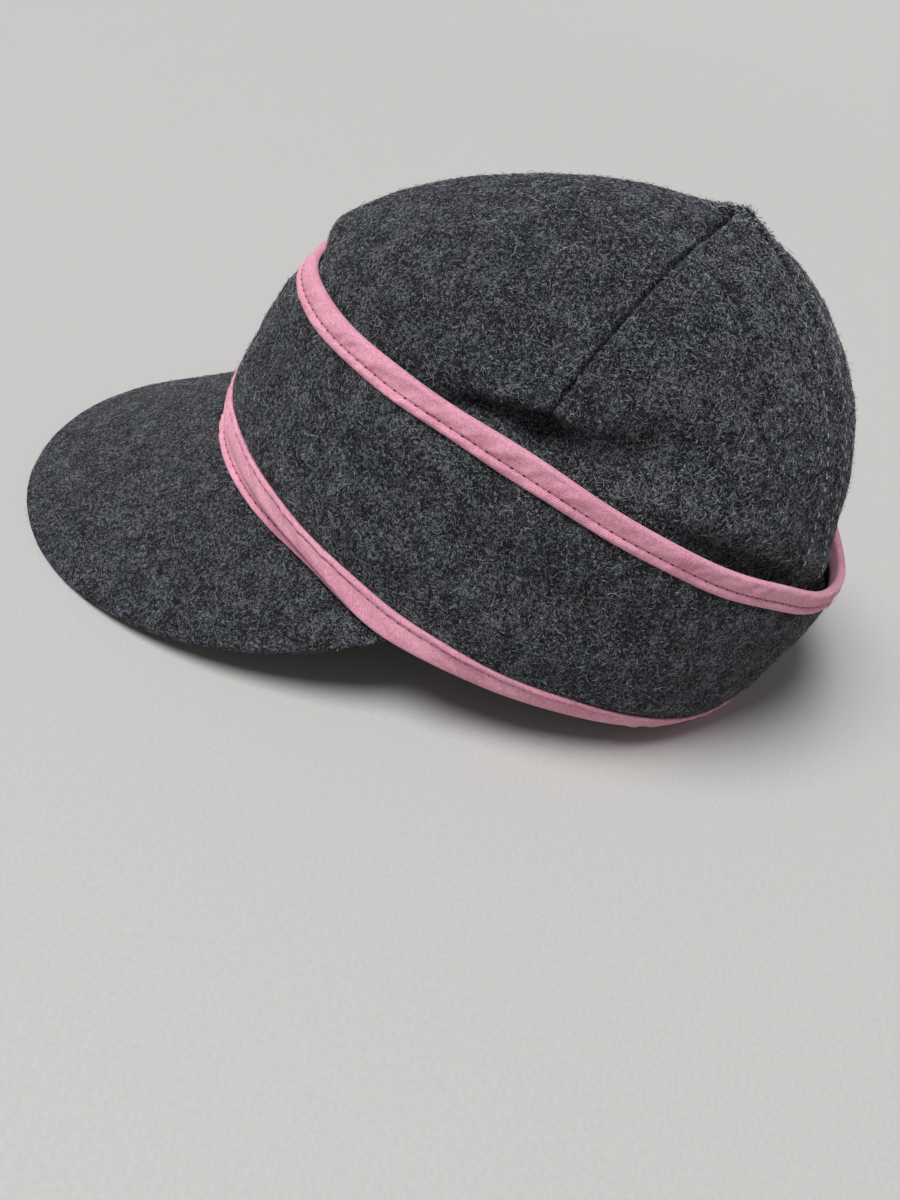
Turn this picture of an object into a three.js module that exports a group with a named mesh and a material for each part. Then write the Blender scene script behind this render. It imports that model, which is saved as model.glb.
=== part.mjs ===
import * as THREE from 'three';

// A wool cadet cap: four crown panels, a peak, an ear band folded up round the crown and three
// bias-tape bindings. Millimetres, +Z up. The peak points along -Y and the wearer's left is +X.
// The cap is shaped first about its rim plane, z = 0, and is then tilted to lie as it rests by
// itself, on the back of its rim and the two front corners of its peak.

const DEG = Math.PI / 180;

// Outline of the rim, over the folded-up band
const RIM_HALF_WIDTH = 86.5;
const RIM_FRONT_REACH = 105;
const RIM_REAR_REACH = 99.2;
const RIM_REAR_FULLNESS = 0.052;

// Crown
const CROWN_HEIGHT = 117.7;
const APEX_BEHIND_MIDDLE = 22.6;
const DOME_INSET = 9.3;
const DOME_TAPER = 1.3;
const DOME_RISE = 0.663;
const DOME_SWELL = { side: -0.056, front: 0.019, back: 0.047 };
const APEX_HOLE_RADIUS = 1.6;
const TUCK_REACH = 9;
const SIDE_SEAM = 87;
const BACK_SEAM = 156;

// Cloth and tape
const WOOL_WALL = 2.5;
const WOOL_PRESSED = 0.8;
const TAPE_WALL = 0.5;
const TAPE_WIDTH = 7.3;
const BOUND_EDGE = 2.8;
const GAP = 0.3;
const FOLD_WALL = 0.65;
const BEHIND_BAND = 3.7;
const ROLL_REACH = 11;

// Peak
const PEAK_REACH = 61.6;
const PEAK_HALF_SPAN = 82.5;
const PEAK_ROUNDNESS = 2.32;
const PEAK_FULLNESS = 0.925;
const PEAK_FAN = 0.723;
const PEAK_DROOP = 35.8;
const PEAK_ARCH = 4.4;
const PEAK_WALL = 3.4;
const PEAK_SEAM_DEPTH = 3;
const PEAK_END_WALL = 1.4;
const PEAK_END_TAPER = 0.16;

// How far the cloth gives where it lies on a surface
const REST_GIVE = 0.5;

// Round the cap from the front, mirrored on the other side. at: degrees from the front. rim: height
// of the rim's edge. bandFoot and bandTop: heights of the band's two edges. standOff: from the dome
// to the band's top edge. behind: from the band's face in to the crown at that edge. swell: of the
// band between its edges. flare: how far the crown's foot comes out under the band. roll: how far
// the foot of both rolls in under, below zero where the end of the peak holds it out.
const ROUND = [
  { at: 0, rim: 0, bandFoot: 6.6, bandTop: 64.9, standOff: 1.5, behind: 3.8, swell: 2.5, flare: 3.2, roll: 0 },
  { at: 20, rim: 0, bandFoot: 6.6, bandTop: 64.8, standOff: 2.3, behind: 3.8, swell: 2.1, flare: 3.2, roll: 0 },
  { at: 40, rim: 0, bandFoot: 6.2, bandTop: 64.5, standOff: 3.5, behind: 3.9, swell: 1.3, flare: 3, roll: 0 },
  { at: 60, rim: 0, bandFoot: 4.1, bandTop: 64.2, standOff: 3.7, behind: 3.8, swell: 0.8, flare: 2.1, roll: 0.9 },
  { at: 80, rim: 0, bandFoot: 1.1, bandTop: 63.5, standOff: 3.5, behind: 3.7, swell: 0.3, flare: 0.8, roll: -2.6 },
  { at: 100, rim: -1.8, bandFoot: -1.8, bandTop: 60.6, standOff: 4, behind: 4.2, swell: 0.3, flare: 0.1, roll: 1.2 },
  { at: 120, rim: -4.3, bandFoot: -4.3, bandTop: 55.7, standOff: 5.1, behind: 5.2, swell: 0.7, flare: 0, roll: 3.2 },
  { at: 140, rim: -8, bandFoot: -8, bandTop: 50.3, standOff: 6.8, behind: 6.8, swell: 1.1, flare: 0, roll: 3.8 },
  { at: 160, rim: -8, bandFoot: -8, bandTop: 43.5, standOff: 9.4, behind: 9.4, swell: 1.7, flare: 0, roll: 3.8 },
  { at: 180, rim: -7.6, bandFoot: -7.6, bandTop: 39.7, standOff: 11, behind: 11, swell: 2, flare: 0, roll: 3.8 },
];
const ROUND_STEP = 20;

// Soft dents of the crown, mirrored on the other side. at and spread: degrees round the cap.
// height and reach: up the crown. depth: inwards, below zero for a roll that stands out.
const DENTS = [
  { name: 'pucker where the side seam runs behind the band', at: 87, spread: 6, height: 66, reach: 5, depth: 4.5 },
  { name: 'crease before the pucker', at: 74, spread: 11, height: 65, reach: 3.5, depth: 3 },
  { name: 'valley behind the pucker', at: 108, spread: 14, height: 76, reach: 5, depth: 1.8 },
  { name: 'roll over the band', at: 116, spread: 15, height: 63, reach: 5, depth: -1.2 },
];

// Fineness of the faceted surfaces
const STATION_STEP = 6;
const PEAK_STATIONS = 34;
const PEAK_TIP = 86.5 * DEG;
const BEHIND_SHARES = [0.22, 0.5, 0.78, 0.93];
const ABOVE_BAND = [0, 3, 6.5, 11];
const DOME_ROWS = 7;

const WOOL = new THREE.MeshStandardMaterial({ color: 0x3b3e44, roughness: 0.95, metalness: 0 });
const TAPE = new THREE.MeshStandardMaterial({ color: 0xc97c98, roughness: 0.85, metalness: 0 });

const mix = (a, b, share) => a + (b - a) * share;
const clamp01 = (value) => Math.min(Math.max(value, 0), 1);
const smooth = (value) => clamp01(value) ** 2 * (3 - 2 * clamp01(value));

// A column of ROUND at any place, on a smooth curve through its rows
function round(column, azimuth) {
  const degrees = Math.abs(Math.atan2(Math.sin(azimuth), Math.cos(azimuth))) / DEG;
  const place = Math.min(degrees / ROUND_STEP, ROUND.length - 1 - 1e-9);
  const row = Math.floor(place);
  const share = place - row;
  const last = ROUND.length - 1;
  const at = (index) => ROUND[index < 0 ? -index : index > last ? 2 * last - index : index][column];
  const [before, start, end, after] = [at(row - 1), at(row), at(row + 1), at(row + 2)];
  const bend = 2 * before - 5 * start + 4 * end - after;
  const twist = 3 * (start - end) + after - before;
  return start + 0.5 * share * (end - before + share * (bend + share * twist));
}

// The level direction away from the cap's middle
const outward = (azimuth) => new THREE.Vector3(Math.sin(azimuth), -Math.cos(azimuth), 0);

// The rim's outline, inset by a distance
function outline(azimuth, inset, rearReach) {
  const behind = Math.max(-Math.cos(azimuth), 0) ** 2;
  const reach = mix(RIM_FRONT_REACH, rearReach, behind) - inset;
  const halfWidth = (RIM_HALF_WIDTH - inset) * (1 - RIM_REAR_FULLNESS * Math.cos(azimuth));
  return new THREE.Vector3(Math.sin(azimuth) * halfWidth, -Math.cos(azimuth) * reach, 0);
}

function rimPoint(azimuth) {
  const point = outline(azimuth, 0, RIM_REAR_REACH);
  point.z = round('rim', azimuth);
  return point;
}

// The crown's plain dome. lift runs from 0 at its foot to a quarter turn at its apex.
function domePoint(azimuth, lift) {
  const swell = DOME_SWELL.side * Math.sin(azimuth) ** 2
    + DOME_SWELL.front * Math.max(Math.cos(azimuth), 0) ** 2
    + DOME_SWELL.back * Math.max(-Math.cos(azimuth), 0) ** 2;
  const share = Math.cos(lift) ** DOME_TAPER * (1 + swell * Math.sin(2 * lift));
  const foot = outline(azimuth, DOME_INSET, RIM_FRONT_REACH);
  const height = CROWN_HEIGHT * Math.sin(lift) ** DOME_RISE;
  return new THREE.Vector3(foot.x * share, mix(APEX_BEHIND_MIDDLE, foot.y, share), height);
}

const liftAt = (height) => Math.asin(clamp01(height / CROWN_HEIGHT) ** (1 / DOME_RISE));

// The band's face. share runs from 0 at the rim to 1 at the band's top edge.
function bandFace(azimuth, share) {
  const top = domePoint(azimuth, liftAt(round('bandTop', azimuth)));
  top.addScaledVector(outward(azimuth), round('standOff', azimuth));
  const swell = round('swell', azimuth) * 4 * share * (1 - share);
  return rimPoint(azimuth).lerp(top, share).addScaledVector(outward(azimuth), swell);
}

// How far along the band's face a height lies
function bandShare(azimuth, height) {
  return (height - round('rim', azimuth)) / (round('bandTop', azimuth) - round('rim', azimuth));
}

function dent(azimuth, height) {
  const degrees = Math.abs(Math.atan2(Math.sin(azimuth), Math.cos(azimuth))) / DEG;
  return DENTS.reduce((sum, row) => {
    const aside = ((degrees - row.at) / row.spread) ** 2;
    const up = ((height - row.height) / row.reach) ** 2;
    return sum + row.depth * Math.exp(-aside - up);
  }, 0);
}

// The crown's face behind the band
function crownBehindBand(azimuth, share) {
  const footShare = bandShare(azimuth, round('bandFoot', azimuth)) + 1e-6;
  const flare = round('flare', azimuth) * clamp01(1 - share / footShare);
  const depth = mix(BEHIND_BAND, round('behind', azimuth), share ** 2) - flare;
  const point = bandFace(azimuth, share);
  return point.addScaledVector(outward(azimuth), -depth - dent(azimuth, point.z));
}

// The crown's face above the band's top edge
function crownAboveBand(azimuth, lift) {
  const point = domePoint(azimuth, lift);
  const above = point.z - round('bandTop', azimuth);
  const tuck = (round('behind', azimuth) - round('standOff', azimuth)) * (1 - smooth(above / TUCK_REACH));
  return point.addScaledVector(outward(azimuth), -tuck - dent(azimuth, point.z));
}

// The outward normal of a surface, read over a small step
function normalOf(surface, azimuth, along) {
  const step = 1e-3;
  const across = surface(azimuth + step, along).sub(surface(azimuth - step, along));
  const up = surface(azimuth, along + step).sub(surface(azimuth, along - step));
  return across.cross(up).normalize();
}

// A point of a surface moved a depth in along its normal
function inset(surface, azimuth, along, depth) {
  return surface(azimuth, along).addScaledVector(normalOf(surface, azimuth, along), -depth);
}

// The same depth of cloth measured on the level, so that a foot or an edge stays level, with the
// foot rolled in under
function insetLevel(surface, azimuth, along, depth) {
  const out = outward(azimuth);
  const lean = normalOf(surface, azimuth, along).dot(out);
  const point = surface(azimuth, along);
  const aboveRim = clamp01((point.z - round('rim', azimuth)) / ROLL_REACH);
  const roll = round('roll', azimuth) * (1 - aboveRim) ** 2;
  return point.addScaledVector(out, -depth / lean - roll);
}

// A closed body from sections that all have the same even number of points, out along one face
// and back along the other. The last section joins the first when the body is a loop.
function sweep(sections, loop) {
  const size = sections[0].length;
  const index = [];
  const quad = (a, b, c, d) => index.push(a, b, c, a, c, d);
  const joins = loop ? sections.length : sections.length - 1;
  for (let s = 0; s < joins; s += 1) {
    const here = s * size;
    const next = ((s + 1) % sections.length) * size;
    for (let i = 0; i < size; i += 1) {
      const j = (i + 1) % size;
      quad(here + i, next + i, next + j, here + j);
    }
  }
  if (!loop) {
    const end = (sections.length - 1) * size;
    for (let i = 0; i < size / 2 - 1; i += 1) {
      const across = size - 1 - i;
      quad(i, i + 1, across - 1, across);
      quad(end + across, end + across - 1, end + i + 1, end + i);
    }
  }
  const geometry = new THREE.BufferGeometry();
  geometry.setAttribute('position', new THREE.Float32BufferAttribute(sections.flat().flatMap((p) => p.toArray()), 3));
  geometry.setIndex(index);
  if (signedVolume(geometry) < 0) {
    geometry.setIndex(index.toReversed());
  }
  return geometry;
}

function signedVolume(geometry) {
  const position = geometry.getAttribute('position');
  const corner = (n) => new THREE.Vector3().fromBufferAttribute(position, geometry.index.getX(n));
  let volume = 0;
  for (let n = 0; n < geometry.index.count; n += 3) {
    volume += corner(n).dot(corner(n + 1).cross(corner(n + 2))) / 6;
  }
  return volume;
}

// The angles of the stations between two angles, in degrees. Every piece has its sections at the
// same angles, so that the facets of neighbours lie side by side.
function stationsBetween(from, to) {
  const half = STATION_STEP / 2;
  const first = Math.floor((from - half) / STATION_STEP) + 1;
  const end = Math.ceil((to - half) / STATION_STEP);
  return Array.from({ length: end - first }, (_, n) => half + (first + n) * STATION_STEP);
}

// One crown panel between two seams, given in degrees
function crownPanel(fromSeam, toSeam) {
  const sections = [crownSection(fromSeam * DEG, 1)];
  stationsBetween(fromSeam, toSeam).forEach((degrees) => sections.push(crownSection(degrees * DEG, 0)));
  sections.push(crownSection(toSeam * DEG, -1));
  return sweep(sections, false);
}

// One upright section of the crown. seamPull is 1 or -1 at a seam, where it moves the section by
// half the seam's gap, so that two panels never touch, and 0 elsewhere.
function crownSection(azimuth, seamPull) {
  const outer = [];
  const inner = [];
  const addRow = (surface, along, pressed) => {
    const move = surface === crownBehindBand ? insetLevel : inset;
    const radius = surface(azimuth, along).setZ(0).distanceTo(new THREE.Vector3(0, APEX_BEHIND_MIDDLE, 0));
    const turned = azimuth + (seamPull * GAP) / 2 / radius;
    outer.push(move(surface, turned, along, pressed));
    inner.push(move(surface, turned, along, WOOL_WALL - pressed + 0.3 * Math.sign(pressed)));
  };
  const foot = crownFoot(azimuth);
  const top = round('bandTop', azimuth);
  const shareAt = (height) => bandShare(azimuth, height);
  addRow(crownBehindBand, shareAt(foot + FOLD_WALL + GAP), WOOL_PRESSED);
  addRow(crownBehindBand, shareAt(foot + TAPE_WIDTH), WOOL_PRESSED);
  BEHIND_SHARES.forEach((share) => addRow(crownBehindBand, share, 0));
  ABOVE_BAND.forEach((height) => addRow(crownAboveBand, liftAt(top + height), 0));
  const from = liftAt(top + ABOVE_BAND.at(-1));
  const to = apexLift();
  for (let n = 1; n <= DOME_ROWS; n += 1) {
    addRow(crownAboveBand, mix(from, to, n / DOME_ROWS), 0);
  }
  return [...outer, ...inner.reverse()];
}

// Where the panels stop short of the apex, level with the hole that their points leave
function apexLift() {
  return Math.acos((APEX_HOLE_RADIUS / RIM_HALF_WIDTH) ** (1 / DOME_TAPER));
}

// Height of the folded lower edge of the crown's binding. It is hidden just above the band's.
const crownFoot = (azimuth) => round('rim', azimuth) + 0.8 * smooth((Math.abs(Math.sin(azimuth / 2)) - 0.45) / 0.2);

// The band between its two bound edges, which the tapes press thinner
function bandSection(azimuth) {
  const foot = round('bandFoot', azimuth);
  const top = round('bandTop', azimuth);
  const rows = [
    { height: foot + FOLD_WALL + GAP, pressed: true },
    { height: foot + TAPE_WIDTH, pressed: true },
    { height: foot + TAPE_WIDTH + 2, pressed: false },
    { height: mix(foot, top, 0.37), pressed: false },
    { height: mix(foot, top, 0.63), pressed: false },
    { height: top - TAPE_WIDTH - 2, pressed: false },
    { height: top - TAPE_WIDTH, pressed: true },
    { height: top - FOLD_WALL - GAP, pressed: true },
  ];
  const face = (row, depth) => insetLevel(bandFace, azimuth, bandShare(azimuth, row.height), depth);
  const outer = rows.map((row) => face(row, row.pressed ? WOOL_PRESSED : 0.1));
  const inner = rows.map((row) => face(row, row.pressed ? BOUND_EDGE - WOOL_PRESSED : WOOL_WALL + 0.1));
  return [...outer, ...inner.reverse()];
}

// A tape folded over an edge: up the face, over the fold and down the back, then the same way
// home along the inside of the fold. side is 1 when the cloth lies above the fold. Either way the
// face against the wool runs the way that the wool's face does, so that their facets match.
function tapeSection(surface, azimuth, foldHeight, side) {
  const profile = [
    { up: TAPE_WIDTH, depth: 0 },
    { up: 1, depth: 0 },
    { up: 0, depth: 0.8 },
    { up: 0, depth: BOUND_EDGE - 0.8 },
    { up: 1, depth: BOUND_EDGE },
    { up: TAPE_WIDTH, depth: BOUND_EDGE },
    { up: TAPE_WIDTH, depth: BOUND_EDGE - TAPE_WALL },
    { up: FOLD_WALL + 0.35, depth: BOUND_EDGE - TAPE_WALL },
    { up: FOLD_WALL, depth: BOUND_EDGE - 0.9 },
    { up: FOLD_WALL, depth: 0.9 },
    { up: FOLD_WALL + 0.35, depth: TAPE_WALL },
    { up: TAPE_WIDTH, depth: TAPE_WALL },
  ];
  const section = profile.map((row) => {
    const share = bandShare(azimuth, foldHeight + side * row.up);
    return insetLevel(surface, azimuth, share, row.depth);
  });
  return side === 1 ? section : section.reverse();
}

// A place on the peak's upper face. along runs from -1 to 1 between its ends, and reach from 0 at
// the rim to 1 at the edge. Below 0 it is the strip sewn in under the crown's foot.
function peakFace(along, reach) {
  const azimuth = along * PEAK_HALF_SPAN * DEG;
  const length = PEAK_REACH * (1 - Math.abs(along) ** PEAK_ROUNDNESS) ** PEAK_FULLNESS;
  const fan = azimuth * PEAK_FAN;
  const point = outline(azimuth, 0, RIM_REAR_REACH);
  point.z = -GAP;
  if (reach < 0) {
    return point.addScaledVector(outward(azimuth), reach * PEAK_SEAM_DEPTH);
  }
  point.addScaledVector(outward(fan), length * reach);
  const arch = PEAK_ARCH * (point.x / RIM_HALF_WIDTH) ** 2 * ((length * reach) / PEAK_REACH);
  point.z -= length * reach * Math.tan(PEAK_DROOP * DEG) + arch;
  return point;
}

function peakSection(along) {
  const wall = mix(PEAK_END_WALL, PEAK_WALL, smooth((1 - Math.abs(along)) / PEAK_END_TAPER));
  const rows = [-1, -0.02, 0.18, 0.38, 0.58, 0.78, 0.93, 0.985, 1].map((reach) => ({ reach, over: 0, under: 1 }));
  Object.assign(rows.at(-2), { under: 0.9 });
  Object.assign(rows.at(-1), { over: 0.3, under: 0.7 });
  const face = (reach, depth) => {
    const droop = reach < 0 ? 0 : PEAK_DROOP * DEG;
    const point = peakFace(along, reach);
    point.addScaledVector(outward(along * PEAK_HALF_SPAN * DEG * PEAK_FAN), -depth * Math.sin(droop));
    point.z -= depth * Math.cos(droop);
    return point;
  };
  const upper = rows.map((row) => face(row.reach, wall * row.over));
  const lower = rows.map((row) => face(row.reach, wall * row.under));
  return [...upper, ...lower.reverse()];
}

function peakBody() {
  const sections = [];
  for (let n = 0; n <= PEAK_STATIONS; n += 1) {
    sections.push(peakSection(Math.sin(mix(-PEAK_TIP, PEAK_TIP, n / PEAK_STATIONS))));
  }
  return sweep(sections, false);
}

const loopBody = (sectionAt) => sweep(stationsBetween(0, 360).map((degrees) => sectionAt(degrees * DEG)), true);

const BODIES = {
  crown_front_panel: [crownPanel(-SIDE_SEAM, SIDE_SEAM), WOOL],
  crown_left_panel: [crownPanel(SIDE_SEAM, BACK_SEAM), WOOL],
  crown_back_panel: [crownPanel(BACK_SEAM, 360 - BACK_SEAM), WOOL],
  crown_right_panel: [crownPanel(-BACK_SEAM, -SIDE_SEAM), WOOL],
  crown_edge_binding: [loopBody((at) => tapeSection(crownBehindBand, at, crownFoot(at), 1)), TAPE],
  peak: [peakBody(), WOOL],
  ear_band: [loopBody(bandSection), WOOL],
  ear_band_bottom_binding: [loopBody((at) => tapeSection(bandFace, at, round('bandFoot', at), 1)), TAPE],
  ear_band_top_binding: [loopBody((at) => tapeSection(bandFace, at, round('bandTop', at), -1)), TAPE],
};

// The tilt at which the back of the rim and the peak touch a level surface together
function restTilt() {
  const lowest = (name, tilt) => {
    const turned = BODIES[name][0].clone().applyMatrix4(new THREE.Matrix4().makeRotationX(tilt));
    turned.computeBoundingBox();
    return turned.boundingBox.min.z;
  };
  let low = -20 * DEG;
  let high = 0;
  for (let n = 0; n < 40; n += 1) {
    const tilt = (low + high) / 2;
    if (lowest('peak', tilt) < lowest('ear_band_bottom_binding', tilt)) {
      high = tilt;
    } else {
      low = tilt;
    }
  }
  return (low + high) / 2;
}

// Tilts every body, sets the whole down with its middle over the origin, and flattens by
// REST_GIVE what would reach below the surface
function settle(bodies) {
  const tilt = new THREE.Matrix4().makeRotationX(restTilt());
  const bounds = new THREE.Box3();
  bodies.forEach((geometry) => {
    geometry.applyMatrix4(tilt);
    geometry.computeBoundingBox();
    bounds.union(geometry.boundingBox);
  });
  const middle = bounds.getCenter(new THREE.Vector3());
  bodies.forEach((geometry) => {
    geometry.translate(-middle.x, -middle.y, -bounds.min.z - REST_GIVE);
    const position = geometry.getAttribute('position');
    for (let n = 0; n < position.count; n += 1) {
      position.setZ(n, Math.max(position.getZ(n), 0));
    }
    geometry.computeVertexNormals();
  });
}

settle(Object.values(BODIES).map(([geometry]) => geometry));

const cap = new THREE.Group();
Object.entries(BODIES).forEach(([name, [geometry, material]]) => {
  const mesh = new THREE.Mesh(geometry, material);
  mesh.name = name;
  cap.add(mesh);
});

export default cap;
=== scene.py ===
import math
from collections import namedtuple

import bmesh
import bpy
import numpy as np
from mathutils import Matrix, Vector, noise


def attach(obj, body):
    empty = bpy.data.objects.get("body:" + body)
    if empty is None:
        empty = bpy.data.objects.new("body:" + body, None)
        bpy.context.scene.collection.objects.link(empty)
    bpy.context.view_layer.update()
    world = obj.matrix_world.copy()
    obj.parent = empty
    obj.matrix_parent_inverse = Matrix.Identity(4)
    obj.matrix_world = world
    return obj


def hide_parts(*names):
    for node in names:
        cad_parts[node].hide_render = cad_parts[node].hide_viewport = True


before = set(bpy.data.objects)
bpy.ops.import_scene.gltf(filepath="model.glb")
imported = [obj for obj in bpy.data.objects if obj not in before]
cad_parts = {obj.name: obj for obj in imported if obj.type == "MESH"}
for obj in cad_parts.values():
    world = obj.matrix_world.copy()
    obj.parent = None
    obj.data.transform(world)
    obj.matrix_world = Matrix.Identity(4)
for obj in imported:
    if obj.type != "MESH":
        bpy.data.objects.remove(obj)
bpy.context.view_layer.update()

# Every shape is worked out in millimetres about the cap's rim plane, then laid down as it rests
MM = 0.001
DEG = math.pi / 180
REST_TILT = -8.98352 * DEG
REST_PLACE = (0.0, 30.1732, 21.7751)

# Outline of the rim, over the folded-up band
RIM_HALF_WIDTH = 86.5
RIM_FRONT_REACH = 105
RIM_REAR_REACH = 99.2
RIM_REAR_FULLNESS = 0.052

# Crown
CROWN_HEIGHT = 117.7
APEX_BEHIND_MIDDLE = 22.6
DOME_INSET = 9.3
DOME_TAPER = 1.3
DOME_RISE = 0.663
DOME_SWELL = {"side": -0.056, "front": 0.019, "back": 0.047}
APEX_ROW_RADIUS = 0.4
TUCK_REACH = 9
SIDE_SEAM = 87
BACK_SEAM = 156

# Cloth and tape
WOOL_WALL = 2.5
WOOL_PRESSED = 0.8
TAPE_WALL = 0.5
TAPE_PRESSED = 0.35
TAPE_WIDTH = 7.3
BOUND_EDGE = 2.8
GAP = 0.3
FOLD_WALL = 0.65
BEHIND_BAND = 3.7
ROLL_REACH = 11
STITCH_PITCH = 3.7
SEAM_STITCH_ASIDE = 4.7
SEAM_ALLOWANCE_WALL = 1.1
SEAM_ALLOWANCE_WIDTH = 6.2
KNOT_HEIGHT = 1.9
KNOT_RADIUS = 7.5
WEAVE_PITCH = 0.46

# Relief of the tape's face: how deep or how high each of its features is
TAPE_EASE = 0.12
TAPE_GROOVE = 0.36
TAPE_LIP = 0.6
TAPE_BODY = 0.25
TAPE_HEM = 0.38
TAPE_PUCKER = 0.09
TAPE_DRAG = 0.4
TAPE_WAVE = 0.4

# Two soft folds that run along the band at each side, with their pitch as a share of its height
SIDE_FOLD_DEPTH = 0.85
SIDE_FOLD_PITCH = 0.42

# Soft swells of the cloth: how far apart they lie, how far they stand out, and the seed of their noise
CROWN_SWELLS = (
    {"size": 30, "height": 0.75, "seed": 3},
    {"size": 12, "height": 0.32, "seed": 8},
    {"size": 5, "height": 0.16, "seed": 21},
)
BAND_SWELLS = (
    {"size": 28, "height": 0.9, "seed": 5},
    {"size": 11, "height": 0.35, "seed": 9},
    {"size": 5, "height": 0.15, "seed": 2},
)
PEAK_SWELLS = (
    {"size": 24, "height": 0.4, "seed": 2},
    {"size": 6, "height": 0.15, "seed": 7},
)

# Peak
PEAK_REACH = 61.6
PEAK_HALF_SPAN = 82.5
PEAK_ROUNDNESS = 2.32
PEAK_FULLNESS = 0.925
PEAK_FAN = 0.723
PEAK_DROOP = 35.8
PEAK_ARCH = 4.4
PEAK_WALL = 3.4
PEAK_SEAM_DEPTH = 7
PEAK_END_WALL = 1.4
PEAK_END_TAPER = 0.16
PEAK_END_ANGLE = 86.5
PEAK_FLAT_SHARE = 0.985

# Round the cap from the front, mirrored on the other side, with a value every ROUND_STEP degrees
ROUND_STEP = 20
ROUND = {
    "rim": (0, 0, 0, 0, 0, -1.8, -4.3, -8, -8, -7.6),
    "band_foot": (6.6, 6.6, 6.2, 4.1, 1.1, -1.8, -4.3, -8, -8, -7.6),
    "band_top": (61.9, 62.2, 62.9, 63.4, 63.5, 60.6, 55.7, 50.3, 43.5, 39.7),
    "stand_off": (1.5, 2.3, 3.5, 3.7, 3.5, 4, 5.1, 6.8, 9.4, 11),
    "behind": (3.8, 3.8, 3.9, 3.8, 3.7, 4.2, 5.2, 6.8, 9.4, 11),
    "swell": (2.5, 2.1, 1.3, 0.8, 0.3, 0.3, 0.7, 1.1, 1.7, 2),
    "flare": (3.2, 3.2, 3, 2.1, 0.8, 0.1, 0, 0, 0, 0),
    "roll": (0, 0, 0, 0.9, -2.6, 1.2, 3.2, 3.8, 3.8, 3.8),
}

# A soft dent of the crown, mirrored on the other side: how many degrees from the front it lies, its
# spread in degrees, its height and reach up the cap, its depth, which is below zero where the cloth
# stands out, and how far it climbs with each degree
Dent = namedtuple("Dent", "name at spread height reach depth climb", defaults=(0,))

CROWN_DENTS = (
    Dent("pucker", at=87, spread=6, height=66, reach=5, depth=4.5),
    Dent("crease", at=74, spread=11, height=65, reach=3.5, depth=3),
    Dent("valley", at=108, spread=14, height=76, reach=5, depth=1.8),
    Dent("roll over the band", at=116, spread=15, height=63, reach=5, depth=-1.2),
)

# Sharper creases of the cloth inside those dents, and where its edges are full
CREASES = (
    Dent("pucker's pit", at=87, spread=4.9, height=64.6, reach=3.4, depth=6.8),
    Dent("crease before it", at=74, spread=9.5, height=62.6, reach=2.7, depth=6.2, climb=0.4),
    Dent("lip under it", at=81, spread=5, height=62, reach=1.6, depth=-0.9, climb=0.1),
    Dent("valley behind it", at=102, spread=14, height=66.7, reach=7.1, depth=8, climb=0.3),
    Dent("its shallow end", at=126, spread=11, height=68.5, reach=4.5, depth=1.8, climb=-0.1),
    Dent("soft roll", at=118, spread=13, height=61, reach=3.4, depth=-0.7, climb=-0.2),
    Dent("faint fold", at=112, spread=16, height=83, reach=4, depth=0.7, climb=-0.25),
    Dent("tuck at the back", at=138, spread=18, height=50, reach=3.8, depth=4.4, climb=-0.35),
    Dent("full back edge", at=161, spread=10, height=44, reach=9, depth=-4),
    Dent("full front edge", at=0, spread=32, height=70, reach=6.5, depth=-2.9),
    Dent("full front", at=0, spread=36, height=80, reach=11, depth=-2),
)


def mix(a, b, share):
    return a + (b - a) * share


def smooth(value):
    value = np.clip(value, 0, 1)
    return value * value * (3 - 2 * value)


def degrees_from_front(azimuth):
    return np.abs(np.arctan2(np.sin(azimuth), np.cos(azimuth))) / DEG


def round_cap(column, azimuth):
    """A column of ROUND at any place, on a smooth curve through its rows."""
    rows = np.array(ROUND[column], float)
    last = len(rows) - 1
    place = np.minimum(degrees_from_front(azimuth) / ROUND_STEP, last - 1e-9)
    row = np.floor(place).astype(int)
    share = place - row
    before, start, end, after = (rows[last - np.abs(last - np.abs(row + n))] for n in (-1, 0, 1, 2))
    bend = 2 * before - 5 * start + 4 * end - after
    twist = 3 * (start - end) + after - before
    return start + 0.5 * share * (end - before + share * (bend + share * twist))


def vectors(x, y, z):
    return np.stack(np.broadcast_arrays(x, y, z), -1).astype(float)


def outward(azimuth):
    return vectors(np.sin(azimuth), -np.cos(azimuth), 0)


def outline(azimuth, inset, rear_reach):
    behind = np.clip(-np.cos(azimuth), 0, None) ** 2
    reach = mix(RIM_FRONT_REACH, rear_reach, behind) - inset
    half_width = (RIM_HALF_WIDTH - inset) * (1 - RIM_REAR_FULLNESS * np.cos(azimuth))
    return vectors(np.sin(azimuth) * half_width, -np.cos(azimuth) * reach, 0)


def dome(azimuth, lift):
    """The crown's plain dome. lift runs from 0 at its foot to a quarter turn at its apex."""
    swell = (
        DOME_SWELL["side"] * np.sin(azimuth) ** 2
        + DOME_SWELL["front"] * np.clip(np.cos(azimuth), 0, None) ** 2
        + DOME_SWELL["back"] * np.clip(-np.cos(azimuth), 0, None) ** 2
    )
    share = np.cos(lift) ** DOME_TAPER * (1 + swell * np.sin(2 * lift))
    foot = outline(azimuth, DOME_INSET, RIM_FRONT_REACH)
    height = CROWN_HEIGHT * np.sin(lift) ** DOME_RISE
    return vectors(foot[..., 0] * share, mix(APEX_BEHIND_MIDDLE, foot[..., 1], share), height)


def lift_at(height):
    return np.arcsin(np.clip(height / CROWN_HEIGHT, 0, 1) ** (1 / DOME_RISE))


def band_share(azimuth, height):
    rim = round_cap("rim", azimuth)
    return (height - rim) / (round_cap("band_top", azimuth) - rim)


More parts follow.
